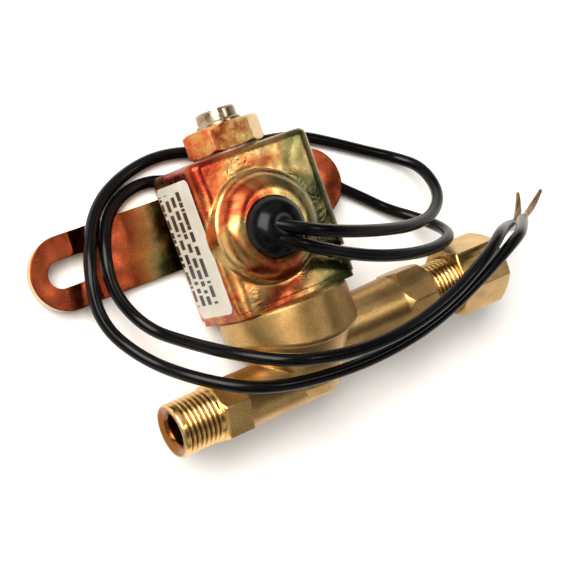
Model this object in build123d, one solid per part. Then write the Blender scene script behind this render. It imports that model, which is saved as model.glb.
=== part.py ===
from build123d import *
import math
import os

# Two-way solenoid valve with a side-mounting strap and two lead wires, all sizes in millimetres.
# It is drawn upright: X along the flow from inlet to outlet, Z up the stem, the coil housing's
# hub facing -Y, and Z = 0 on the inlet's axis. lay_down() then turns it onto its back, the way
# it lies on a bench: +Z up from the bench, +Y along the stem, and the origin at the middle of
# the mounting strap's back face.

# ---- driving dimensions ----
# pipe connections: 1/4 inch tube in 7/16-24 compression ends
TUBE_BORE = 3.22
THREAD_R = 5.55
THREAD_PITCH = 25.4 / 24
INLET_END = -32.7
INLET_SHOULDER = -23.2
OUTLET_END = 45.0
OUTLET_SHOULDER = 33.1
OUTLET_Z = 5.5
PASSAGE_R = 2.0
SOCKET_DEPTH = 9.0
STRAINER_R = 2.6
STRAINER_START = INLET_END + 1.2 + SOCKET_DEPTH

# forged body
BOSS_R = 13.8
BOSS_LOW = 5.9
BODY_TOP = 15.6
INLET_HEX = 11.8
INLET_HEX_END = -17.4
INLET_ARM_END = 5.6
OUTLET_ARM_R = 6.7
OUTLET_HEX = 13.2
OUTLET_HEX_START = 24.6
CHAMBER_R = 6.8
FLANGE_BORE = 8.7
FLANGE_STEP = 12.0

# stem: sealed tube, plug and plunger
TUBE_R = 4.75
TUBE_INNER = 4.25
TUBE_TOP = 36.5
PLUG_BOTTOM = 33.5
PLUNGER_R = 4.19
PLUNGER_BOTTOM = 12.2
PLUNGER_TOP = 31.9
SEAT_TOP = 11.0
STUD_TOP = 56.6
STUD_R = 4.76
STUD_PITCH = 1.15
HEAD_BOTTOM = STUD_TOP - 2.3

# coil housing
PLATE = 1.2
CAN_BOTTOM = BODY_TOP + PLATE
CAN_TOP = 47.6
CAN_WIDTH = 28.6
CAN_FRONT = -9.2
CAN_BACK = 11.1
CAN_WALL = 1.0
CAN_CORNER = 2.8
HUB_X = -3.0
HUB_Z = 31.4
HUB_R = 11.6
HUB_RISE = 5.3
HOLE_X = HUB_X - 0.6
HOLE_Z = HUB_Z - 0.7
HOLE_R = 5.0

# strap and nuts
STRAP_Z = 35.8
STRAP_WIDTH = 15.2
STRAP_THICK = 2.0
STRAP_LEFT = -45.5
STRAP_RIGHT = 28.9
STRAP_BACK = BOSS_R
STRAP_FRONT = STRAP_BACK - STRAP_THICK
EAR_STEP = 2.5
TAIL_STEP = 2.8
SLOT_WIDTH = 5.6
SLOT_LEFT = -41.9
SLOT_LENGTH = 10.6
WASHER_R = 6.4
WASHER_TOP = CAN_TOP + 0.45
NUT_FLATS = 14.29
NUT_CORNER_R = 8.35
TOP_NUT_HEIGHT = 5.35
TOP_NUT_TURN = 45.5
NUT_START = 39.9
NUT_END = 51.8
OUTLET_NUT_TURN = -12.0

# lead wires
WIRE_R = 1.3
STRAND_R = 0.65


# ---- helpers ----
def rod_z(radius, low, high, x=0.0, y=0.0):
    return Pos(x, y, (low + high) / 2) * Cylinder(radius, high - low)


def rod_x(radius, start, end, z=0.0):
    return Pos((start + end) / 2, 0, z) * Rot(Y=90) * Cylinder(radius, end - start)


def turned_z(points):
    """Solid of revolution about Z from (radius, z) points."""
    outline = Polyline(*[(r, 0, z) for r, z in points], close=True)
    return revolve(make_face(outline), Axis.Z)


def turned_x(points, z=0.0):
    """Solid of revolution about the X direction at height z from (x, radius) points."""
    outline = Polyline(*[(x, 0, r) for x, r in points], close=True)
    return Pos(0, 0, z) * revolve(make_face(outline), Axis.X)


def hex_z(flats, low, high):
    return Pos(0, 0, low) * extrude(RegularPolygon(flats / 2, 6, major_radius=False), high - low)


def hex_x(flats, start, end, z=0.0):
    """Hexagonal bar along X with a corner facing the front."""
    section = Rot(Z=90) * RegularPolygon(flats / 2, 6, major_radius=False)
    return Pos(start, 0, z) * Rot(Y=90) * extrude(section, end - start)


def nut_chamfer(radius, height, cut):
    """Turned blank along Z whose bevelled ends round off a nut's corners."""
    return turned_z([(0, 0), (radius - cut, 0), (radius, cut * 0.55), (radius, height - cut * 0.55),
                     (radius - cut, height), (0, height)])


def thread_points(start, end, radius, pitch):
    """Outline of a male thread as rings: flat crests with a V groove at every pitch."""
    depth = 0.6 * pitch
    half = 0.36 * pitch
    points = [(start, 0), (start, radius - 0.35), (start + 0.35, radius)]
    count = int((end - start - 1.2) / pitch)
    for i in range(count):
        middle = start + 1.2 + (i + 0.5) * pitch
        points += [(middle - half, radius), (middle, radius - depth), (middle + half, radius)]
    return points + [(end, radius), (end, 0)]


def stadium(left, right, width, thick):
    """Flat bar in the XY plane with half-round ends, from left to right."""
    slot = SlotOverall(right - left, width)
    return Pos((left + right) / 2, 0, 0) * extrude(slot, thick)


def at_hub(shape):
    """Places a shape drawn around +Z on the can's front face, +Z pointing out of the hub."""
    return Pos(HUB_X, CAN_FRONT, HUB_Z) * Rot(X=90) * shape


def at_hole(shape):
    """The same, around the grommet's hole, which is a little off the hub's centre."""
    return Pos(HOLE_X, CAN_FRONT, HOLE_Z) * Rot(X=90) * shape


def lay_down(shape):
    return Pos(0, -STRAP_Z, STRAP_BACK) * Rot(X=-90) * shape


# ---- valve body ----
def make_boss():
    """Round boss under the housing. Its lower edge is a bowl when seen from the front."""
    blank = turned_z([(0, 3.0), (BOSS_R, 3.0), (BOSS_R, BODY_TOP - 0.5), (BOSS_R - 0.5, BODY_TOP), (0, BODY_TOP)])
    reach = BOSS_R + 1
    bowl = ThreePointArc((-reach, 10.8), (1.0, BOSS_LOW), (reach, 9.6))
    rim = Polyline((reach, 9.6), (reach, 20), (-reach, 20), (-reach, 10.8))
    outline = Pos(0, reach, 0) * Rot(X=90) * extrude(make_face(bowl + rim), 2 * reach)
    boss = blank & outline
    lower_edges = [e for e in boss.edges() if e.bounding_box().min.Z < BODY_TOP - 3 and e.length > 5]
    return fillet(lower_edges, 0.9)


def make_valve_body():
    neck = turned_z([(0, -4.6), (5.2, -4.6), (7.2, -2.6), (8.6, 2.0), (11.6, 6.0), (13.0, 9.5), (13.0, 12), (0, 12)])
    inlet_arm = turned_x([(INLET_SHOULDER + 1, 0), (INLET_SHOULDER + 1, INLET_HEX / 2),
                          (INLET_ARM_END - 2.6, INLET_HEX / 2), (INLET_ARM_END - 1.2, INLET_HEX / 2 - 0.5),
                          (INLET_ARM_END - 0.4, INLET_HEX / 2 - 1.4), (INLET_ARM_END, INLET_HEX / 2 - 2.8),
                          (INLET_ARM_END, 0)])
    inlet_hex = Rot(X=-8) * hex_x(INLET_HEX, INLET_SHOULDER, INLET_HEX_END)
    inlet_hex &= turned_x([(INLET_SHOULDER, 0), (INLET_SHOULDER, 6.3), (INLET_SHOULDER + 0.6, 7.0),
                           (INLET_HEX_END, 7.0), (INLET_HEX_END, 0)])
    outlet_arm = turned_x([(4, 0), (4, 6.0), (12, 6.2), (26, OUTLET_ARM_R), (28, OUTLET_ARM_R), (28, 0)], OUTLET_Z)
    outlet_hex = hex_x(OUTLET_HEX, OUTLET_HEX_START, OUTLET_SHOULDER, OUTLET_Z)
    outlet_hex &= turned_x([(OUTLET_HEX_START, 0), (OUTLET_HEX_START, 6.7), (OUTLET_HEX_START + 1.2, 7.55),
                            (OUTLET_SHOULDER - 1.4, 7.55), (OUTLET_SHOULDER, 6.4), (OUTLET_SHOULDER, 0)], OUTLET_Z)
    inlet_thread = turned_x(thread_points(INLET_END, INLET_SHOULDER, THREAD_R, THREAD_PITCH))
    outlet_thread = Pos(OUTLET_END, 0, OUTLET_Z) * Rot(Z=180) * turned_x(
        thread_points(0, OUTLET_END - OUTLET_SHOULDER, THREAD_R, THREAD_PITCH))
    body = make_boss() + neck + inlet_arm + inlet_hex + outlet_arm + outlet_hex + inlet_thread + outlet_thread

    inlet_mouth = turned_x([(INLET_END - 0.5, 0), (INLET_END - 0.5, 5.6), (INLET_END + 0.6, 3.7),
                            (INLET_END + 1.2, TUBE_BORE),
                            (INLET_END + 1.2 + SOCKET_DEPTH, TUBE_BORE), (INLET_END + 1.2 + SOCKET_DEPTH, 0)])
    outlet_mouth = rod_x(TUBE_BORE, OUTLET_END - SOCKET_DEPTH, OUTLET_END + 1, OUTLET_Z)
    cavities = rod_z(CHAMBER_R, 8.6, FLANGE_STEP) + rod_z(FLANGE_BORE, FLANGE_STEP, BODY_TOP + 1)
    cavities += inlet_mouth + outlet_mouth
    cavities += rod_x(STRAINER_R + 0.02, STRAINER_START, STRAINER_START + 7)
    cavities += rod_x(PASSAGE_R, STRAINER_START, 1.6) + rod_z(1.6, 0, 9)
    cavities += rod_x(PASSAGE_R, 3.9, OUTLET_END - 8, OUTLET_Z) + rod_z(1.4, OUTLET_Z, 9, x=5.3)
    cavities += rod_z(2.4, 6.5, 9)
    return body - cavities


def make_orifice_insert():
    return turned_z([(1.1, 6.5), (2.4, 6.5), (2.4, 10.2), (1.7, SEAT_TOP), (1.1, SEAT_TOP)])


def make_inlet_strainer():
    """Thin cup behind the inlet socket's shoulder, its closed end downstream."""
    start = STRAINER_START + 0.1
    return turned_x([(start, 2.1), (start, STRAINER_R), (start + 0.6, STRAINER_R), (start + 6.2, 2.0),
                     (start + 6.2, 0), (start + 5.9, 0), (start + 5.9, 1.7), (start + 0.6, 2.1)])


def make_body_oring():
    return Pos(0, 0, FLANGE_STEP + 0.79) * Torus(7.75, 0.77)


# ---- stem ----
def make_enclosing_tube():
    low = FLANGE_STEP + 1.58
    return turned_z([(TUBE_INNER, low), (FLANGE_BORE - 0.05, low), (FLANGE_BORE - 0.05, BODY_TOP),
                     (TUBE_R, BODY_TOP), (TUBE_R, TUBE_TOP), (TUBE_INNER, TUBE_TOP)])


def make_plug_stud():
    start = CAN_TOP - 2.0
    core = turned_z([(0, PLUG_BOTTOM), (TUBE_INNER, PLUG_BOTTOM), (TUBE_INNER, TUBE_TOP), (TUBE_R, TUBE_TOP),
                     (TUBE_R, start), (0, start)])
    thread = Pos(0, 0, HEAD_BOTTOM) * Rot(Y=90) * turned_x(
        thread_points(0, HEAD_BOTTOM - start, STUD_R, STUD_PITCH))
    head = turned_z([(0, HEAD_BOTTOM - 0.4), (4.0, HEAD_BOTTOM - 0.4), (4.2, HEAD_BOTTOM), (4.2, STUD_TOP - 0.4),
                     (3.8, STUD_TOP), (0, STUD_TOP)])
    spring_seat = rod_z(2.3, PLUG_BOTTOM - 1, PLUG_BOTTOM + 1.2)
    ring_groove = rod_z(3.6, PLUG_BOTTOM - 1, PLUG_BOTTOM + 0.6) - rod_z(2.9, PLUG_BOTTOM - 1, PLUG_BOTTOM + 0.6)
    driver_slot = Pos(0, 0, STUD_TOP) * Rot(Z=-28.5) * Box(1.3, 12, 2.6)
    return core + thread + head - spring_seat - ring_groove - driver_slot


def make_shading_ring():
    return rod_z(3.58, PLUG_BOTTOM + 0.02, PLUG_BOTTOM + 0.58) - rod_z(2.92, PLUG_BOTTOM, PLUG_BOTTOM + 1)


def make_plunger():
    blank = turned_z([(0, PLUNGER_BOTTOM), (3.5, PLUNGER_BOTTOM), (PLUNGER_R, PLUNGER_BOTTOM + 0.7),
                      (PLUNGER_R, PLUNGER_TOP - 0.3), (PLUNGER_R - 0.3, PLUNGER_TOP), (0, PLUNGER_TOP)])
    pocket = rod_z(2.3, PLUNGER_TOP - 8, PLUNGER_TOP + 1)
    seal_pocket = rod_z(2.8, PLUNGER_BOTTOM - 1, PLUNGER_BOTTOM + 1.4)
    bleed_slot = Pos(PLUNGER_R, 0, (PLUNGER_BOTTOM + PLUNGER_TOP) / 2) * Box(1.2, 1.2, 22)
    return blank - pocket - seal_pocket - bleed_slot


def make_plunger_seal():
    return rod_z(2.79, SEAT_TOP + 0.02, PLUNGER_BOTTOM + 1.38)


def make_return_spring():
    low = PLUNGER_TOP - 7.75
    high = PLUG_BOTTOM + 1.0
    turns = 5
    coil = Helix((high - low) / turns, high - low, 1.85)
    profile = Plane(origin=coil @ 0, z_dir=coil % 0) * Circle(0.2)
    return Pos(0, 0, low) * sweep(profile, path=coil)


# ---- coil ----
BOBBIN_LOW = CAN_BOTTOM + 0.9
BOBBIN_HIGH = 44.9


def bobbin_flange(low):
    plate = Pos(0, 0, low) * extrude(RectangleRounded(20.5, 15.6, 2.5), 1.2)
    return plate


def make_coil_bobbin():
    core = rod_z(5.4, BOBBIN_LOW, BOBBIN_HIGH)
    flanges = bobbin_flange(BOBBIN_LOW) + bobbin_flange(BOBBIN_HIGH - 1.2)
    return core + flanges - rod_z(TUBE_R + 0.1, BOBBIN_LOW - 1, BOBBIN_HIGH + 1)


def make_coil_winding():
    low, high = BOBBIN_LOW + 1.22, BOBBIN_HIGH - 1.22
    return rod_z(7.3, low, high) - rod_z(5.42, low - 1, high + 1)


def make_coil_wrap():
    low, high = BOBBIN_LOW + 1.22, BOBBIN_HIGH - 1.22
    return rod_z(7.6, low, high) - rod_z(7.32, low - 1, high + 1)


def make_flux_yoke():
    """U-shaped steel frame around the coil: a bottom plate and two side legs."""
    width, depth, thick = 25.0, 13.0, 1.6
    outer = Pos(0, 0, (CAN_BOTTOM + 45.0) / 2) * Box(width, depth, 45.0 - CAN_BOTTOM)
    hollow_low = CAN_BOTTOM + 0.85
    inner = Pos(0, 0, (hollow_low + 50) / 2) * Box(width - 2 * thick, depth + 2, 50 - hollow_low)
    return outer - inner - rod_z(TUBE_R + 0.1, CAN_BOTTOM - 1, hollow_low + 1)


def make_flux_washer():
    plate = Pos(0, 0, 45.05) * extrude(RectangleRounded(25.0, 15.0, 2.0), 1.5)
    return plate - rod_z(STUD_R + 0.1, 44, 48)


def make_lead_splices():
    """Crimps that join the coil's ends to the lead wires, in front of the coil."""
    sleeves = Part() + [Pos(HUB_X + side, -9.9, HUB_Z) * Cylinder(1.15, 7) for side in (-2.4, 2.4)]
    return sleeves


# ---- housing ----
def hub_shape(radius, crest, base):
    """The hub: a short upright skirt, then one smooth dome up to a flat top around the hole."""
    flat = HOLE_R + 1.3
    skirt = Polyline((0, base), (radius, base), (radius - 0.2, crest - 3.8), (radius - 0.7, crest - 3.4))
    dome = ThreePointArc((radius - 0.7, crest - 3.4), (radius - 2.0, crest - 1.25), (flat, crest))
    top = Polyline((flat, crest), (0, crest), (0, base))
    return revolve(Plane.XZ * make_face(skirt + dome + top), Axis.Z)


def make_housing_can():
    depth = CAN_BACK - CAN_FRONT
    middle = (CAN_BACK + CAN_FRONT) / 2
    height = CAN_TOP - CAN_BOTTOM
    block = Pos(0, middle, CAN_BOTTOM) * extrude(RectangleRounded(CAN_WIDTH, depth, CAN_CORNER), height)
    block = fillet(block.faces().sort_by(Axis.Z)[-1].edges(), 1.5)
    hub = at_hub(hub_shape(HUB_R, HUB_RISE, -CAN_CORNER))
    inner = Pos(0, middle, CAN_BOTTOM - 1) * extrude(
        RectangleRounded(CAN_WIDTH - 2 * CAN_WALL, depth - 2 * CAN_WALL, CAN_CORNER - CAN_WALL),
        height + 1 - CAN_WALL)
    inner = fillet(inner.faces().sort_by(Axis.Z)[-1].edges(), 0.7)
    hub_inner = at_hub(hub_shape(HUB_R - CAN_WALL, HUB_RISE - CAN_WALL, -CAN_CORNER - 1))
    grommet_hole = at_hole(rod_z(HOLE_R, 0, 8))
    stud_hole = rod_z(STUD_R + 0.15, CAN_TOP - 3, CAN_TOP + 1)
    can = block + hub - inner - hub_inner - grommet_hole - stud_hole - make_window()
    strap_pad = Pos(0, (CAN_BACK + STRAP_FRONT) / 2, STRAP_Z) * Box(24, STRAP_FRONT - CAN_BACK, 13)
    return can + make_window_lip() + strap_pad


WINDOW_X = CAN_WIDTH / 2 - 2.6
WINDOW_Z = CAN_BOTTOM + 4.6


def make_window():
    """Opening lanced through the can's lower front corner."""
    return Pos(WINDOW_X, CAN_FRONT + 1.0, WINDOW_Z) * Rot(Y=24) * Box(5.6, 5.0, 3.4)


def make_window_lip():
    """The metal lanced out of the window, left standing as a short rounded tongue."""
    tongue = Box(4.6, 3.6, 0.8)
    tongue = fillet(tongue.edges().filter_by(Axis.Z), 1.1)
    return Pos(WINDOW_X + 1.6, CAN_FRONT - 0.2, WINDOW_Z - 2.1) * Rot(X=-14) * tongue


def make_base_plate():
    plate = Pos(0, (CAN_BACK + CAN_FRONT) / 2, BODY_TOP) * extrude(
        RectangleRounded(CAN_WIDTH - 0.6, CAN_BACK - CAN_FRONT - 0.4, CAN_CORNER), PLATE)
    return plate - rod_z(TUBE_R + 0.1, BODY_TOP - 1, CAN_BOTTOM + 1)


def make_lead_grommet():
    """Domed rubber bushing held in the hub's hole by a groove, with two slanted wire sockets."""
    groove = HUB_RISE + 0.03
    outline = Polyline((0, 2.0), (5.9, 2.0), (5.9, 3.6), (HOLE_R - 0.02, 4.1), (HOLE_R - 0.02, groove), (6.0, groove),
                       (6.3, groove + 0.35))
    dome = ThreePointArc((6.3, groove + 0.35), (4.6, groove + 2.9), (0, groove + 3.6))
    return at_hole(revolve(Plane.XZ * make_face(outline + dome + Line((0, groove + 3.6), (0, 2.0))), Axis.Z))


def make_rating_label():
    low, high = CAN_BOTTOM + 0.6, CAN_TOP - 2.4
    front, back = CAN_FRONT + CAN_CORNER + 0.1, CAN_BACK - CAN_CORNER - 0.1
    sheet = extrude(RectangleRounded(high - low, back - front, 1.4), 0.12)
    return Pos(-CAN_WIDTH / 2 - 0.12, (front + back) / 2, (low + high) / 2) * Rot(Y=90) * sheet


# ---- strap ----
def make_mounting_bracket():
    """Flat steel strap on the housing's back. Both ends are stepped towards the housing's front:
    the long ear, which is slotted, and the short tail, which leaves room for a lead behind it."""
    ear, tail = EAR_STEP, TAIL_STEP
    side = [(STRAP_RIGHT, STRAP_BACK - tail), (17.0, STRAP_BACK - tail), (14.8, STRAP_BACK),
            (-30.6, STRAP_BACK), (-34.2, STRAP_BACK - ear), (STRAP_LEFT, STRAP_BACK - ear),
            (STRAP_LEFT, STRAP_FRONT - ear), (-35.0, STRAP_FRONT - ear), (-31.4, STRAP_FRONT),
            (15.6, STRAP_FRONT), (17.8, STRAP_FRONT - tail), (STRAP_RIGHT, STRAP_FRONT - tail)]
    section = make_face(Polyline(*side, close=True))
    section = fillet([v for v in section.vertices() if STRAP_LEFT + 1 < v.X < STRAP_RIGHT - 1], 1.0)
    bar = Pos(0, 0, STRAP_Z - STRAP_WIDTH / 2) * extrude(section, STRAP_WIDTH)
    outline = Pos(0, STRAP_BACK + 5, STRAP_Z) * Rot(X=90) * stadium(STRAP_LEFT, STRAP_RIGHT, STRAP_WIDTH, 20)
    slot = Pos(0, STRAP_BACK + 5, STRAP_Z) * Rot(X=90) * stadium(SLOT_LEFT, SLOT_LEFT + SLOT_LENGTH, SLOT_WIDTH, 20)
    rivet_holes = Part() + [Pos(x, STRAP_BACK - 1, STRAP_Z) * Rot(X=90) * Cylinder(1.6, 4) for x in RIVETS]
    return (bar & outline) - slot - rivet_holes


RIVETS = (-9.0, 9.0)


def make_bracket_rivets():
    """Two flush rivets through the strap, headed inside the can."""
    heads = []
    for x in RIVETS:
        shank = Pos(x, STRAP_BACK - STRAP_THICK / 2, STRAP_Z) * Rot(X=90) * Cylinder(1.58, STRAP_THICK)
        heads.append(shank)
    return Part() + heads


# ---- nuts ----
def make_lock_washer():
    ring = rod_z(WASHER_R, CAN_TOP, WASHER_TOP) - rod_z(STUD_R + 0.15, CAN_TOP - 1, WASHER_TOP + 1)
    split = Pos(6, 0, CAN_TOP + 0.2) * Rot(X=35) * Box(6, 0.9, 4)
    return ring - split


def make_top_nut():
    blank = hex_z(NUT_FLATS, 0, TOP_NUT_HEIGHT) & nut_chamfer(NUT_CORNER_R, TOP_NUT_HEIGHT, 1.1)
    nut = Pos(0, 0, WASHER_TOP) * Rot(Z=TOP_NUT_TURN) * blank
    return nut - rod_z(STUD_R + 0.04, WASHER_TOP - 1, WASHER_TOP + 10)


def make_compression_nut():
    length = NUT_END - NUT_START
    blank = hex_z(NUT_FLATS, 0, length) & nut_chamfer(NUT_CORNER_R, length, 1.2)
    taper = OUTLET_END - NUT_START + 3.0
    bore = turned_z([(0, -1), (THREAD_R + 0.55, -1), (THREAD_R + 0.07, 0.5), (THREAD_R + 0.07, taper),
                     (4.9, taper + 0.6), (3.4, taper + 2.1), (3.4, length + 1), (0, length + 1)])
    return Pos(NUT_START, 0, OUTLET_Z) * Rot(Y=90) * Rot(Z=OUTLET_NUT_TURN) * (blank - bore)


def make_compression_sleeve():
    start = OUTLET_END + 0.75
    return turned_x([(start, 3.25), (start, 3.6), (start + 1.1, 4.6), (start + 2.6, 4.6), (start + 3.7, 3.7),
                     (start + 3.7, 3.25)], OUTLET_Z)


# ---- lead wires ----
# Centre lines in the laid-down frame. Both leads leave the grommet, drop in a loop beside the
# outlet and run along the bench behind the housing's top end, lead A beside it and lead B under
# the strap's tail. They come round over the strap's ear side, cross the front of the body and
# come down to the bench past the outlet nut.
LEAD_A = [(-5.6, -3.9, 30.6), (-1.6, -6.6, 33.0), (4.4, -9.2, 33.2), (11.4, -11.4, 31.6), (19.6, -13.4, 28.4),
          (28.8, -15.1, 23.8), (39.6, -15.4, 17.5), (47.4, -11.8, 12.0), (49.0, -5.0, 6.6), (45.8, -1.0, 1.9),
          (39.6, 2.4, 1.35), (32.5, 6.4, 1.35), (24, 10.8, 1.35), (13, 12.4, 1.35), (2.5, 13.6, 1.35),
          (-9, 16.4, 1.35), (-19.2, 14.6, 1.35), (-27.6, 10.0, 3.0), (-34.6, 1, 8.8), (-37.0, -11.0, 8.6),
          (-32, -21.0, 11.5), (-26, -28, 21), (-17, -33.5, 26), (-3, -36.4, 25.6), (13, -37.2, 25.2),
          (28, -35.2, 25.2), (42, -30.0, 26.2), (52.8, -26.1, 25.3), (59.0, -25.1, 20.9), (65.9, -24.1, 13.1)]
LEAD_B = [(-6.4, -6.4, 30.2), (-2.6, -9.1, 32.2), (2.2, -11.8, 31.6), (8.5, -14.7, 29.6), (16.0, -17.7, 28.0),
          (25, -20.2, 25.8), (34.6, -21.6, 22.0), (42.4, -21.0, 17.5), (45.9, -19.2, 10.8), (44.8, -15.6, 4.4),
          (39.6, -11.4, 1.4), (34.6, -7.0, 1.35), (28.3, -2.0, 1.35), (22.9, 4.8, 1.35), (16.8, 9.5, 1.35),
          (6, 9.0, 1.35), (-6, 9.6, 1.35), (-15.4, 12.4, 1.35), (-24.4, 9.2, 2.4), (-30.0, 1.6, 6.6),
          (-31.2, -7.0, 6.6), (-27.6, -15.8, 7.6), (-23.4, -20.8, 15.0), (-18.8, -25.6, 24.6), (-11, -30.3, 31.0),
          (2, -33.5, 30.3), (16, -34.1, 29.0), (29, -31.6, 29.2), (41.8, -25.9, 30.0), (52.6, -22.4, 23.3),
          (68.3, -25.3, 6.5)]
STRANDS_A = [(65.9, -24.1, 13.1), (71.2, -23.6, 9.2), (76.4, -22.2, 6.2), (80.6, -20.2, 4.8)]
STRANDS_B = [(68.3, -25.3, 6.5), (72.2, -24.0, 3.9), (75.1, -21.9, 1.8), (76.9, -19.1, 0.85)]


def corner_radii(points):
    """Largest arc for every corner of a route: 0.45 of its shorter run over tan(half the turn)."""
    radii = []
    for before, corner, after in zip(points, points[1:], points[2:]):
        run_in = Vector(corner) - Vector(before)
        run_out = Vector(after) - Vector(corner)
        turn = math.radians(run_in.get_angle(run_out))
        radii.append(0.45 * min(run_in.length, run_out.length) / math.tan(turn / 2))
    return radii


def make_cord(name, points, radius):
    radii = corner_radii(points)
    path = FilletPolyline(*points, radius=radii)
    start = Plane(origin=path @ 0, z_dir=path % 0)
    tube = sweep(start * Circle(radius), path=path)
    share = tube.volume / (math.pi * radius**2 * path.length)
    print(f"{name}: length {path.length:.1f}, smallest radius {min(radii):.1f}, volume share {share:.4f}")
    return tube


# ---- write one file per piece ----
UPRIGHT_PIECES = {
    "valve_body": make_valve_body,
    "orifice_insert": make_orifice_insert,
    "inlet_strainer": make_inlet_strainer,
    "body_oring": make_body_oring,
    "enclosing_tube": make_enclosing_tube,
    "plug_stud": make_plug_stud,
    "shading_ring": make_shading_ring,
    "plunger": make_plunger,
    "plunger_seal": make_plunger_seal,
    "return_spring": make_return_spring,
    "coil_bobbin": make_coil_bobbin,
    "coil_winding": make_coil_winding,
    "coil_wrap": make_coil_wrap,
    "flux_yoke": make_flux_yoke,
    "flux_washer": make_flux_washer,
    "lead_splices": make_lead_splices,
    "housing_can": make_housing_can,
    "housing_base_plate": make_base_plate,
    "lead_grommet": make_lead_grommet,
    "rating_label": make_rating_label,
    "mounting_bracket": make_mounting_bracket,
    "bracket_rivets": make_bracket_rivets,
    "lock_washer": make_lock_washer,
    "top_nut": make_top_nut,
    "compression_nut": make_compression_nut,
    "compression_sleeve": make_compression_sleeve,
}
CORDS = {
    "lead_wire_a": (LEAD_A, WIRE_R),
    "lead_wire_b": (LEAD_B, WIRE_R),
    "lead_strands_a": (STRANDS_A, STRAND_R),
    "lead_strands_b": (STRANDS_B, STRAND_R),
}


def build():
    pieces = {name: lay_down(make()) for name, make in UPRIGHT_PIECES.items()}
    cords = {name: make_cord(name, route, radius) for name, (route, radius) in CORDS.items()}
    pieces["lead_grommet"] -= cords["lead_wire_a"] + cords["lead_wire_b"]
    pieces.update(cords)
    return pieces


os.makedirs("parts", exist_ok=True)
for node, shape in build().items():
    export_step(shape, f"parts/{node}.step")
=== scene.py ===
import math
import random

import bpy
from mathutils import Matrix, Vector


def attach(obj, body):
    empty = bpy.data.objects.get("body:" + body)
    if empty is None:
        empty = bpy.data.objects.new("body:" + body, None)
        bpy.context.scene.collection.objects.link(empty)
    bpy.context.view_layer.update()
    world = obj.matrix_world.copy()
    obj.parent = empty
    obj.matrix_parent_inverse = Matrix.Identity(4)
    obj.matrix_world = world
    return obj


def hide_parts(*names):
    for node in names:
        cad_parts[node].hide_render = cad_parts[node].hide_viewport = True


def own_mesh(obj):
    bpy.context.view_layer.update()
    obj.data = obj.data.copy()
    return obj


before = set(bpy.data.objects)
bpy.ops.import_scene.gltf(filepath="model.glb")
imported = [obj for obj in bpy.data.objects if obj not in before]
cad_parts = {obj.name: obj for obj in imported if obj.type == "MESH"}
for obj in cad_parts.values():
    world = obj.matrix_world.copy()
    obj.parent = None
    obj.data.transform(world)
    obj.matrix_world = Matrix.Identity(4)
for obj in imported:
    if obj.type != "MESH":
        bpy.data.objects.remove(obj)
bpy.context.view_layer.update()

MM = 0.001

# The two tube ends lie along X. Each is given by a point on its axis and where its thread starts.
INLET = Vector((0, -35.8, 13.8)) * MM
OUTLET = Vector((0, -30.3, 13.8)) * MM
INLET_THREAD_X = -0.0226
OUTLET_THREAD_X = 0.0328
THREAD_FADE = 0.0005
THREAD_ROOT, THREAD_CREST = 0.00500, 0.00545

# The hub on the housing's front face: its centre, and radii round it.
HUB = Vector((-3.0, -4.4, 23.0)) * MM
HUB_RIM = (0.0106, 0.0112)
SKIRT_END = (0.0117, 0.0121)
CREASE_START = (0.0112, 0.0122)
CREASE_END = (0.0135, 0.0190)

# The label lies in the plane of Y and Z. Its rows of bars run along Y.
PRINT_CENTRE_Y, PRINT_CENTRE_Z = -0.0040, 0.0107
PRINT_HALF_WIDTH, PRINT_HALF_HEIGHT = 0.0118, 0.0056
FIRST_ROW_Z, ROW_PITCH, ROW_SHIFT = 0.0050, 0.0029, 0.0037
BAR_SHARE = 0.58        # of the row pitch
GAP_LEVEL = 0.46        # noise below this is a gap between bars

LEAD_DIAMETER = 0.0026
STRAND_DIAMETER = 0.00060
STRAND_COUNT = 11


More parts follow.
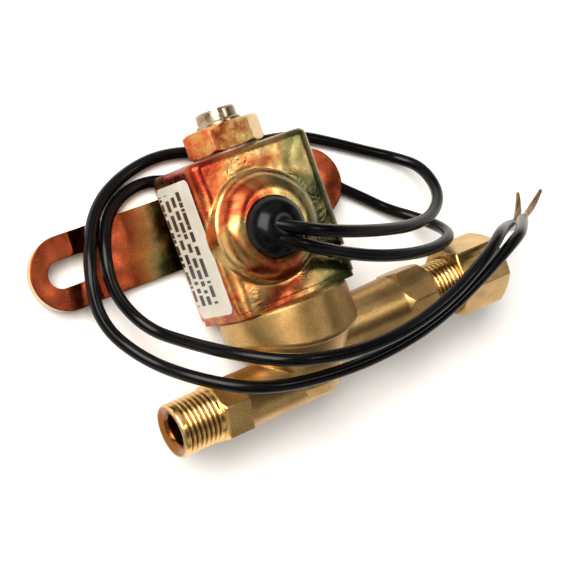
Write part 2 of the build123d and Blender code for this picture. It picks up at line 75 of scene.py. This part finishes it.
# ---------------------------------------------------------------- node helpers
class Graph:
    """A material's node tree, with short calls for the nodes used here."""

    def __init__(self, name):
        self.material = bpy.data.materials.new(name)
        self.material.use_nodes = True
        self.tree = self.material.node_tree
        self.shader = self.tree.nodes["Principled BSDF"]

    def node(self, kind, inputs=(), **settings):
        made = self.tree.nodes.new(kind)
        for key, value in settings.items():
            setattr(made, key, value)
        for key, value in dict(inputs).items():
            self.feed(made.inputs[key], value)
        return made

    def feed(self, socket, value):
        if isinstance(value, bpy.types.NodeSocket):
            self.tree.links.new(value, socket)
        elif isinstance(value, (tuple, list)) and len(value) == 3 and socket.type == "RGBA":
            socket.default_value = (*value, 1.0)
        else:
            socket.default_value = value

    def set(self, **inputs):
        for key, value in inputs.items():
            self.feed(self.shader.inputs[key.replace("_", " ")], value)

    def position(self):
        return self.node("ShaderNodeTexCoord").outputs["Object"]

    def scaled(self, vector, scale):
        made = self.node("ShaderNodeMapping", {"Vector": vector, "Scale": scale})
        return made.outputs["Vector"]

    def split(self, vector):
        return self.node("ShaderNodeSeparateXYZ", {"Vector": vector}).outputs

    def noise(self, vector, scale, detail=3.0, rough=0.55, distortion=0.0):
        inputs = {"Vector": vector, "Scale": scale, "Detail": detail, "Roughness": rough,
                  "Distortion": distortion}
        return self.node("ShaderNodeTexNoise", inputs).outputs["Fac"]

    def math(self, operation, a, b=0.0, c=0.0):
        return self.node("ShaderNodeMath", {0: a, 1: b, 2: c}, operation=operation).outputs[0]

    def add(self, a, b):
        return self.math("ADD", a, b)

    def minus(self, a, b):
        return self.math("SUBTRACT", a, b)

    def times(self, a, b):
        return self.math("MULTIPLY", a, b)

    def length(self, a, b):
        """The length of the vector (a, b)."""
        return self.math("SQRT", self.add(self.times(a, a), self.times(b, b)))

    def within(self, value, centre, half):
        """1 where value is less than half away from centre, else 0."""
        return self.math("LESS_THAN", self.math("ABSOLUTE", self.minus(value, centre)), half)

    def span(self, value, low, high, out_low=0.0, out_high=1.0):
        """Linear remap with clamping."""
        inputs = {"Value": value, "From Min": low, "From Max": high,
                  "To Min": out_low, "To Max": out_high}
        return self.node("ShaderNodeMapRange", inputs).outputs["Result"]

    def ramp(self, value, stops):
        """Colour by value. A stop is a place with a colour, or with one number for a grey."""
        made = self.node("ShaderNodeValToRGB", {"Fac": value})
        while len(made.color_ramp.elements) < len(stops):
            made.color_ramp.elements.new(0.5)
        for element, (place, colour) in zip(made.color_ramp.elements, stops):
            element.position = place
            rgb = colour if isinstance(colour, tuple) else (colour,) * 3
            element.color = (*rgb, 1.0)
        return made.outputs["Color"]

    def mix(self, factor, a, b, blend="MIX"):
        made = self.node("ShaderNodeMix", data_type="RGBA", blend_type=blend)
        self.feed(made.inputs[0], factor)
        self.feed(made.inputs[6], a)
        self.feed(made.inputs[7], b)
        return made.outputs[2]

    def bump(self, height, distance, strength=1.0, normal=None):
        made = self.node("ShaderNodeBump",
                         {"Height": height, "Distance": distance, "Strength": strength})
        if normal is not None:
            self.feed(made.inputs["Normal"], normal)
        return made.outputs["Normal"]

    def soft_edges(self, radius):
        return self.node("ShaderNodeBevel", {"Radius": radius}, samples=4).outputs["Normal"]


# ---------------------------------------------------------------- materials
def forged_brass():
    """Sand-blasted forging between machined thread faces, coloured darker in the grooves and
    lighter on the crests.
    """
    g = Graph("forged_brass")
    p = g.position()
    x, y, z = g.split(p)
    machined = g.math("MAXIMUM",
                      g.span(x, INLET_THREAD_X, INLET_THREAD_X - THREAD_FADE),
                      g.span(x, OUTLET_THREAD_X, OUTLET_THREAD_X + THREAD_FADE))
    cloud = g.noise(p, 90.0, 4.0)
    grain = g.noise(p, 3400.0, 2.0, 0.6)
    forged = g.ramp(cloud, [(0.25, (0.28, 0.155, 0.050)), (0.5, (0.48, 0.30, 0.112)),
                            (0.78, (0.64, 0.43, 0.18))])
    forged = g.mix(g.span(grain, 0.4, 0.68, 0.0, 0.5), forged, (0.20, 0.095, 0.028))
    # the distance from the nearer tube end's axis tells crest from groove
    axis_y = g.math("MULTIPLY_ADD", g.span(x, 0.0, 0.001), OUTLET.y - INLET.y, INLET.y)
    radius = g.length(g.minus(y, axis_y), g.minus(z, INLET.z))
    crest = g.span(radius, THREAD_ROOT, THREAD_CREST)
    turned = g.mix(crest, (0.20, 0.075, 0.018), (0.70, 0.46, 0.17))
    colour = g.mix(machined, forged, turned)
    rough = g.minus(g.span(cloud, 0.2, 0.8, 0.33, 0.42), g.times(machined, 0.15))
    pits = g.times(grain, g.minus(1.0, g.times(machined, 0.95)))
    swell = g.bump(g.noise(p, 220.0, 2.0), 0.00012, 0.5, g.soft_edges(0.0005))
    g.set(Base_Color=colour, Metallic=1.0, Roughness=rough,
          Normal=g.bump(pits, 0.00004, 0.6, swell))
    return g.material


def nut_brass():
    """Bar brass, lightly tarnished, with fine turning marks."""
    g = Graph("nut_brass")
    p = g.position()
    cloud = g.noise(p, 150.0, 5.0, 0.6)
    streaks = g.noise(g.scaled(p, (1.0, 7.0, 7.0)), 240.0, 3.0)
    colour = g.ramp(cloud, [(0.25, (0.33, 0.18, 0.055)), (0.5, (0.49, 0.31, 0.11)),
                            (0.8, (0.60, 0.42, 0.17))])
    g.set(Base_Color=colour, Metallic=1.0, Roughness=g.span(streaks, 0.3, 0.7, 0.24, 0.38),
          Normal=g.bump(streaks, 0.00003, 0.6, g.soft_edges(0.0006)))
    return g.material


# Yellow passivate on zinc: interference colours, from deep red through gold to dark green.
FILM = [(0.0, (0.27, 0.030, 0.013)), (0.18, (0.42, 0.085, 0.028)), (0.33, (0.50, 0.19, 0.055)),
        (0.48, (0.50, 0.31, 0.11)), (0.64, (0.43, 0.34, 0.13)), (0.82, (0.25, 0.235, 0.085)),
        (1.0, (0.11, 0.12, 0.05))]
WHITE = (1.0, 1.0, 1.0)
SPECKLE = (0.20, 0.07, 0.02)
PALE_GOLD = (0.62, 0.47, 0.17)


def finish_plating(g, p, tone, rough, height, pale=None, painted_shade=WHITE):
    """Shared end of the plated materials.

    tone picks the film's colour, painted shade darkens it, and pale is how much pale gold is mixed
    in.
    """
    speckle = g.noise(p, 3600.0, 2.0, 0.6)
    colour = g.mix(g.span(speckle, 0.52, 0.70, 0.0, 0.35), g.ramp(tone, FILM), SPECKLE)
    # painted shade, multiplied into the film's colour
    colour = g.mix(1.0, colour, painted_shade, "MULTIPLY")
    # pale gold: a paler ring round the can's hub, and a painted highlight along the strap's edges
    if pale is not None:
        colour = g.mix(pale, colour, PALE_GOLD)
    normal = g.bump(height, 0.0004, 1.0, g.soft_edges(0.0004))
    g.set(Base_Color=colour, Metallic=1.0,
          Roughness=g.span(g.noise(p, 420.0, 3.0), 0.3, 0.7, *rough),
          Normal=g.bump(speckle, 0.00001, 0.5, normal))
    return g.material


def plated_can():
    """Red at the inlet side and olive at the outlet side, creased where the hub was drawn, with
    painted shade darkening the outlet side.
    """
    g = Graph("plated_can")
    p = g.position()
    x, y = g.split(p)[:2]
    cloud = g.noise(p, 105.0, 3.0, 0.55, 0.7)
    tone = g.add(g.math("MULTIPLY_ADD", x, 29.0, -0.47), g.times(cloud, 1.95))
    radius = g.length(g.minus(x, HUB.x), g.minus(y, HUB.y))
    near_hub = g.times(g.span(radius, *CREASE_START), g.span(radius, *CREASE_END, 1.0, 0.0))
    drawn = g.times(near_hub, g.span(g.noise(p, 95.0, 1.0), 0.42, 0.60))
    creases = g.noise(g.scaled(p, (1.0, 1.7, 1.0)), 300.0, 2.0, 0.55, 1.2)
    sheet = g.noise(p, 120.0, 1.0, 0.4, 0.4)
    height = g.add(g.times(sheet, 1.9), g.times(g.times(creases, drawn), 0.38))
    skirt = g.times(g.span(radius, *HUB_RIM), g.span(radius, *SKIRT_END, 0.45, 0.0))
    # painted shade: the film darker towards the outlet side, where the key light's reflection
    # falls
    painted_shade = g.ramp(g.span(x, -0.015, 0.010), [(0.0, 0.94), (0.5, 0.78), (1.0, 0.42)])
    return finish_plating(g, p, tone, (0.22, 0.36), height, skirt, painted_shade)


def plated_strap():
    """The film on the strap changes in bands along it, darkened in bands by painted shade, and its
    edges carry a painted highlight.
    """
    g = Graph("plated_strap")
    p = g.position()
    x = g.split(p)[0]
    drift = g.times(g.noise(p, 70.0, 3.0, 0.5, 0.6), 0.014)
    along = g.add(g.math("ABSOLUTE", g.add(x, 0.007)), drift)
    outward = g.span(along, 0.012, 0.044)
    bands = g.ramp(outward, [(0.0, 0.98), (0.08, 0.90), (0.17, 0.36),
                             (0.32, 0.13), (0.58, 0.0), (1.0, 0.08)])
    # painted shade: darkest next to the housing and towards the ends, standing in for dark
    # reflections
    painted_shade = g.ramp(outward, [(0.0, 0.30), (0.09, 0.30), (0.19, 0.90),
                             (0.34, 0.62), (0.58, 0.32), (1.0, 0.66)])
    tone = g.add(bands, g.times(g.noise(p, 240.0, 3.0), 0.13))
    # painted highlight: pale gold on the faces turned away from front and back, along the strap's
    # edges
    facing = g.split(g.node("ShaderNodeNewGeometry").outputs["Normal"])[2]
    edge_highlight = g.times(g.span(g.math("ABSOLUTE", facing), 0.75, 0.35), 0.7)
    return finish_plating(g, p, tone, (0.20, 0.32), g.noise(p, 130.0, 1.0), edge_highlight, painted_shade)


def plated_nut():
    """Mottled orange and gold."""
    g = Graph("plated_nut")
    p = g.position()
    mottle = g.math("MULTIPLY_ADD", g.noise(p, 420.0, 4.0, 0.7), 1.1, -0.12)
    tone = g.math("MULTIPLY_ADD", g.split(p)[0], 22.0, mottle)
    return finish_plating(g, p, tone, (0.24, 0.38), g.times(g.noise(p, 700.0, 3.0), 0.12))


def plain_metal(name, light, dark, rough=(0.25, 0.40), scale=140.0):
    """Bare metal in clouds of two close colours."""
    g = Graph(name)
    p = g.position()
    cloud = g.noise(p, scale, 4.0, 0.6)
    g.set(Base_Color=g.ramp(cloud, [(0.3, dark), (0.7, light)]), Metallic=1.0,
          Roughness=g.span(g.noise(p, scale * 4, 3.0), 0.3, 0.7, *rough),
          Normal=g.soft_edges(0.0002))
    return g.material


def moulded(name, colour, rough, bump_scale, bump_depth, specular=0.5):
    """Plastic or rubber with a faint moulded grain."""
    g = Graph(name)
    p = g.position()
    grain = g.noise(p, bump_scale, 3.0, 0.6)
    lighter = tuple(min(1.0, c * 1.4) for c in colour)
    g.set(Base_Color=g.mix(g.span(grain, 0.3, 0.7), colour, lighter),
          Roughness=g.span(grain, 0.3, 0.7, rough, rough + 0.06),
          Normal=g.bump(grain, bump_depth, 0.5), Specular_IOR_Level=specular)
    return g.material


def label_stock():
    """Off-white film with rows of plain bars where printing would be."""
    g = Graph("label_stock")
    p = g.position()
    y, z = g.split(p)[1:3]
    paper = g.ramp(g.noise(p, 160.0, 4.0), [(0.3, (0.42, 0.395, 0.33)),
                                            (0.7, (0.52, 0.495, 0.425))])
    row = g.math("DIVIDE", g.minus(z, FIRST_ROW_Z), ROW_PITCH)
    number = g.math("FLOOR", row)
    in_row = g.math("LESS_THAN", g.math("FRACT", row), BAR_SHARE)
    shifted = g.math("MULTIPLY_ADD", number, ROW_SHIFT, y)
    place = g.node("ShaderNodeCombineXYZ", {"X": shifted, "Y": number}).outputs["Vector"]
    bar = g.math("GREATER_THAN", g.noise(place, 700.0, 1.0), GAP_LEVEL)
    inside = g.times(g.within(y, PRINT_CENTRE_Y, PRINT_HALF_WIDTH),
                     g.within(z, PRINT_CENTRE_Z, PRINT_HALF_HEIGHT))
    ink = g.times(g.times(in_row, bar), inside)
    g.set(Base_Color=g.mix(ink, paper, (0.010, 0.009, 0.008)),
          Roughness=g.span(g.noise(p, 300.0), 0.3, 0.7, 0.42, 0.55),
          Normal=g.bump(g.noise(p, 900.0, 3.0), 0.00001, 0.5))
    return g.material


can_finish = plated_can()
stud_steel = plain_metal("stud_steel", (0.42, 0.33, 0.22), (0.16, 0.11, 0.07), (0.20, 0.34), 300.0)
stainless = plain_metal("stainless", (0.66, 0.65, 0.62), (0.52, 0.51, 0.49))
mild_steel = plain_metal("mild_steel", (0.34, 0.33, 0.32), (0.20, 0.19, 0.18), (0.4, 0.6))
copper = plain_metal("copper_wire", (0.78, 0.40, 0.24), (0.58, 0.27, 0.15))
bare_copper = plain_metal("bare_copper", (0.36, 0.22, 0.11), (0.16, 0.085, 0.04),
                          (0.35, 0.5), 400.0)
tin = plain_metal("tin", (0.74, 0.73, 0.70), (0.60, 0.59, 0.56))
black_rubber = moulded("black_rubber", (0.0012, 0.0012, 0.0012), 0.20, 500.0, 0.000004, 0.12)
seal_rubber = moulded("seal_rubber", (0.02, 0.02, 0.022), 0.5, 1500.0, 0.00002)
insulation = moulded("black_insulation", (0.0012, 0.0010, 0.0010), 0.20, 300.0, 0.000002, 0.14)
nylon = moulded("nylon", (0.62, 0.58, 0.48), 0.45, 900.0, 0.00001)
tape = moulded("tape", (0.52, 0.42, 0.18), 0.55, 1800.0, 0.00004)

FINISHES = {
    "valve_body": forged_brass(),
    "compression_nut": nut_brass(),
    "compression_sleeve": nut_brass(),
    "housing_can": can_finish,
    "housing_base_plate": can_finish,
    "mounting_bracket": plated_strap(),
    "bracket_rivets": mild_steel,
    "top_nut": plated_nut(),
    "lock_washer": mild_steel,
    "plug_stud": stud_steel,
    "plunger": stud_steel,
    "enclosing_tube": stainless,
    "orifice_insert": stainless,
    "inlet_strainer": stainless,
    "return_spring": stainless,
    "shading_ring": copper,
    "coil_winding": copper,
    "flux_yoke": mild_steel,
    "flux_washer": mild_steel,
    "lead_splices": tin,
    "coil_bobbin": nylon,
    "coil_wrap": tape,
    "body_oring": seal_rubber,
    "plunger_seal": seal_rubber,
    "lead_grommet": black_rubber,
    "rating_label": label_stock(),
}
for node, finish in FINISHES.items():
    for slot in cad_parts[node].material_slots:
        slot.material = finish


# ---------------------------------------------------------------- lead wires
# The routes of the two leads, in millimetres, as in the part's source.
LEAD_A = [(-5.6, -3.9, 30.6), (-1.6, -6.6, 33.0), (4.4, -9.2, 33.2), (11.4, -11.4, 31.6),
          (19.6, -13.4, 28.4), (28.8, -15.1, 23.8), (39.6, -15.4, 17.5), (47.4, -11.8, 12.0),
          (49.0, -5.0, 6.6), (45.8, -1.0, 1.9), (39.6, 2.4, 1.35), (32.5, 6.4, 1.35),
          (24, 10.8, 1.35), (13, 12.4, 1.35), (2.5, 13.6, 1.35), (-9, 16.4, 1.35),
          (-19.2, 14.6, 1.35), (-27.6, 10.0, 3.0), (-34.6, 1, 8.8), (-37.0, -11.0, 8.6),
          (-32, -21.0, 11.5), (-26, -28, 21), (-17, -33.5, 26), (-3, -36.4, 25.6),
          (13, -37.2, 25.2), (28, -35.2, 25.2), (42, -30.0, 26.2), (52.8, -26.1, 25.3),
          (59.0, -25.1, 20.9), (65.9, -24.1, 13.1)]
LEAD_B = [(-6.4, -6.4, 30.2), (-2.6, -9.1, 32.2), (2.2, -11.8, 31.6), (8.5, -14.7, 29.6),
          (16.0, -17.7, 28.0), (25, -20.2, 25.8), (34.6, -21.6, 22.0), (42.4, -21.0, 17.5),
          (45.9, -19.2, 10.8), (44.8, -15.6, 4.4), (39.6, -11.4, 1.4), (34.6, -7.0, 1.35),
          (28.3, -2.0, 1.35), (22.9, 4.8, 1.35), (16.8, 9.5, 1.35), (6, 9.0, 1.35),
          (-6, 9.6, 1.35), (-15.4, 12.4, 1.35), (-24.4, 9.2, 2.4), (-30.0, 1.6, 6.6),
          (-31.2, -7.0, 6.6), (-27.6, -15.8, 7.6), (-23.4, -20.8, 15.0), (-18.8, -25.6, 24.6),
          (-11, -30.3, 31.0), (2, -33.5, 30.3), (16, -34.1, 29.0), (29, -31.6, 29.2),
          (41.8, -25.9, 30.0), (52.6, -22.4, 23.3), (68.3, -25.3, 6.5)]
STRANDS_A = [(65.9, -24.1, 13.1), (71.2, -23.6, 9.2), (76.4, -22.2, 6.2), (80.6, -20.2, 4.8)]
STRANDS_B = [(68.3, -25.3, 6.5), (72.2, -24.0, 3.9), (75.1, -21.9, 1.8), (76.9, -19.1, 0.85)]

# How the strands lie round their bundle's route: in millimetres from it, then as shares of that
# at each of the route's points, and the turn from one point to the next.
STRAND_REACH = 0.62
CORE_SHARE = 0.35
SPREAD = (1.0, 1.2, 1.15, 0.4)
TWIST = 1.1
ACROSS_1, ACROSS_2 = Vector((-0.35, 0.75, 0.0)), Vector((0.3, 0.1, 0.55))
LOWEST_TIP = 0.4


def add_spline(curve, points):
    spline = curve.splines.new("NURBS")
    spline.points.add(len(points) - 1)
    for place, point in zip(spline.points, points):
        place.co = (*(Vector(point) * MM), 1.0)
    spline.order_u = 3
    spline.use_endpoint_u = True
    spline.resolution_u = 8


def new_curve(name, thickness, material):
    curve = bpy.data.curves.new(name, "CURVE")
    curve.dimensions = "3D"
    curve.bevel_depth = thickness / 2
    curve.bevel_resolution = 6
    curve.use_fill_caps = True
    curve.materials.append(material)
    piece = bpy.data.objects.new(name, curve)
    bpy.context.scene.collection.objects.link(piece)
    return piece


def make_strands(name, points, seed):
    """Fine bare strands that follow the bundle's route, twisted, and drawn together at the tip."""
    piece = new_curve(name, STRAND_DIAMETER, bare_copper)
    chance = random.Random(seed)
    for i in range(STRAND_COUNT):
        angle = 2 * math.pi * i / STRAND_COUNT + chance.uniform(-0.2, 0.2)
        reach = STRAND_REACH * (CORE_SHARE if i % 3 == 0 else 1.0)
        strand = []
        for step, point in enumerate(points):
            spread = reach * SPREAD[step] * chance.uniform(0.85, 1.1)
            turn = angle + TWIST * step
            across = ACROSS_1 * math.cos(turn) + ACROSS_2 * math.sin(turn)
            strand.append(Vector(point) + across * spread)
        last_run = Vector(points[-1]) - Vector(points[-2])
        strand[-1] += last_run * chance.uniform(-0.25, 0.0)
        strand[-1].z = max(strand[-1].z, LOWEST_TIP)
        add_spline(piece.data, strand)
    return piece


def make_lead(name, points, strand_points, seed):
    """An insulated lead along its route, with its bare strands, in place of their CAD nodes."""
    lead = new_curve(name, LEAD_DIAMETER, insulation)
    add_spline(lead.data, points)
    strands = make_strands(name.replace("lead", "strands"), strand_points, seed)
    for piece, node, slot in (
        (lead, name.replace("lead", "lead_wire"), "black_insulation"),
        (strands, name.replace("lead", "lead_strands"), "tinned_strands"),
    ):
        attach(piece, "valve")
        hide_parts(node)


make_lead("lead_a", LEAD_A, STRANDS_A, 5)
make_lead("lead_b", LEAD_B, STRANDS_B, 8)


# ---------------------------------------------------------------- return spring
def make_spring():
    """The spring's coils, as a copy of its CAD node's mesh that rides on the valve."""
    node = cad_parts["return_spring"]
    coil = bpy.data.objects.new("spring_coil", node.data.copy())
    coil.matrix_world = node.matrix_world
    bpy.context.scene.collection.objects.link(coil)
    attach(coil, "valve")
    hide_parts("return_spring")
    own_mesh(coil)


make_spring()


# ---------------------------------------------------------------- floor, light and camera
FLOOR_HALF = 3
FLOOR_Z = -0.0001        # just below the part, so that the two don't share a plane
WORLD_STRENGTH = 0.75
DARK_PATCH, BRIGHT_PATCH = (0.44, 0.03), (0.60, 1.0)        # place on the ramp, and brightness


def make_floor():
    mesh = bpy.data.meshes.new("floor")
    corners = [(-1, -1), (1, -1), (1, 1), (-1, 1)]
    mesh.from_pydata([(x * FLOOR_HALF, y * FLOOR_HALF, 0) for x, y in corners],
                     [], [(0, 1, 2, 3)])
    floor = bpy.data.objects.new("floor", mesh)
    floor.location.z = FLOOR_Z
    bpy.context.scene.collection.objects.link(floor)
    g = Graph("floor_white")
    g.set(Base_Color=(0.86, 0.84, 0.82), Roughness=0.9, Specular_IOR_Level=0.1)
    mesh.materials.append(g.material)


def add_panel(name, place, target, size, power, colour=(1, 1, 1)):
    light = bpy.data.lights.new(name, "AREA")
    light.shape = "RECTANGLE"
    light.size, light.size_y = size
    light.energy = power
    light.color = colour
    lamp = bpy.data.objects.new(name, light)
    lamp.location = place
    lamp.rotation_euler = (Vector(target) - Vector(place)).to_track_quat("-Z", "Y").to_euler()
    bpy.context.scene.collection.objects.link(lamp)


def make_world():
    """A dim studio with soft bright and dark patches, which the metal picks up."""
    world = bpy.data.worlds.new("studio")
    world.use_nodes = True
    tree = world.node_tree
    backdrop = tree.nodes["Background"]
    direction = tree.nodes.new("ShaderNodeTexCoord").outputs["Generated"]
    patches = tree.nodes.new("ShaderNodeTexNoise")
    patches.inputs["Scale"].default_value = 1.9
    patches.inputs["Detail"].default_value = 1.0
    tree.links.new(direction, patches.inputs["Vector"])
    ramp = tree.nodes.new("ShaderNodeValToRGB")
    ramp.color_ramp.interpolation = "EASE"
    for element, (place, value) in zip(ramp.color_ramp.elements, (DARK_PATCH, BRIGHT_PATCH)):
        element.position = place
        element.color = (value, value * 0.99, value * 0.97, 1)
    tree.links.new(patches.outputs["Fac"], ramp.inputs["Fac"])
    tree.links.new(ramp.outputs["Color"], backdrop.inputs["Color"])
    backdrop.inputs["Strength"].default_value = WORLD_STRENGTH
    bpy.context.scene.world = world


def make_camera():
    """A camera at the viewing angle that the looks were set for."""
    camera = bpy.data.cameras.new("camera")
    camera.lens = 87.5
    camera.sensor_width = 36.0
    camera.clip_start = 0.01
    eye = bpy.data.objects.new("camera", camera)
    forward = Vector((0.476, -0.082, -0.876)).normalized()
    right = forward.cross(Vector((0.332, 0.939, 0.092))).normalized()
    up = right.cross(forward)
    turn = Matrix((right, up, -forward)).transposed().to_4x4()
    eye.matrix_world = Matrix.Translation((-0.1343, 0.0052, 0.2653)) @ turn
    bpy.context.scene.collection.objects.link(eye)
    bpy.context.scene.camera = eye


make_floor()
make_world()
add_panel("key", place=(-0.35, 0.35, 0.60), target=(0, -0.01, 0.01), size=(0.60, 0.60),
          power=15.0, colour=(1.0, 0.97, 0.93))
add_panel("fill", place=(0.262, 0.035, 0.54), target=(0, -0.01, 0.02), size=(0.08, 0.12),
          power=0.42)
make_camera()
bpy.context.scene.view_settings.view_transform = "Standard"
